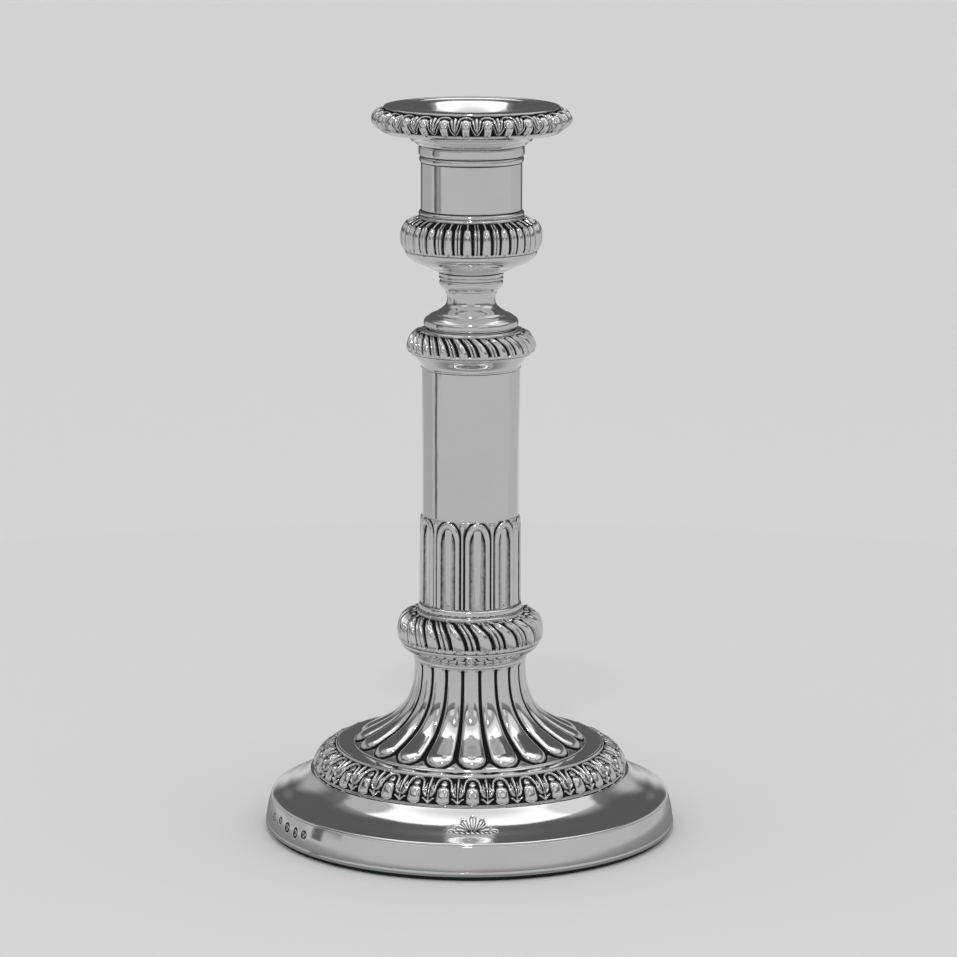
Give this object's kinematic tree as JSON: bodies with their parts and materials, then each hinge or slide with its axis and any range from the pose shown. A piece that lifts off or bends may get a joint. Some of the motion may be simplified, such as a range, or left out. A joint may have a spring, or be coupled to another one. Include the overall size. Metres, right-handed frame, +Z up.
{
  "type": "telescopic candlestick",
  "caption": "Silver column candlestick for a candle, with a nozzle that lifts out and a stem that draws up out of the column, on a round loaded foot.",
  "frame": {"origin": "centre of the baize's underside, on the candlestick's axis", "axes": "+Z up the column, -Y to the front, +X to the viewer's right"},
  "size_m": [0.11, 0.11, 0.1944],
  "materials": {
    "silver": "polished",
    "brass": "satin",
    "leather": "matte",
    "pitch": "satin",
    "wood": "matte",
    "baize": "matte"
  },
  "bodies": {
    "foot": {"collar_gadroon_band": "silver", "collar_moulding": "silver", "column_tube": "silver", "lappet_calyx": "silver", "calyx_band": "silver", "knop_gadroon_band": "silver", "knop_cove": "silver", "column_seat_plate": "silver", "trumpet_foot": "silver", "foot_plate": "silver", "foot_border": "silver", "base_dome": "silver", "base_skirt": "silver", "base_rim_wire": "silver", "pitch_filling": "pitch", "base_board": "wood", "baize_disc": "baize"},
    "upper": {"socket_mouth_band": "silver", "socket_reed": "silver", "socket_cylinder": "silver", "socket_lower_ring": "silver", "socket_gadroon_band": "silver", "socket_bowl": "silver", "stem_collar": "silver", "stem_spool": "silver", "stem_flange": "silver", "draw_tube": "silver", "draw_tube_plug": "brass", "packing_ring": "leather"},
    "nozzle": {"nozzle_border": "silver", "nozzle_pan": "silver", "nozzle_collar": "silver", "nozzle_cup": "silver"}
  },
  "joints": [
    {"name": "draw_slide", "type": "slide", "parent": "foot", "child": "upper", "axis": [0, 0, 1], "range_m": [0, 0.069]},
    {"name": "nozzle_lift", "type": "slide", "parent": "upper", "child": "nozzle", "axis": [0, 0, 1], "range_m": [0, 0.03]}
  ]
}
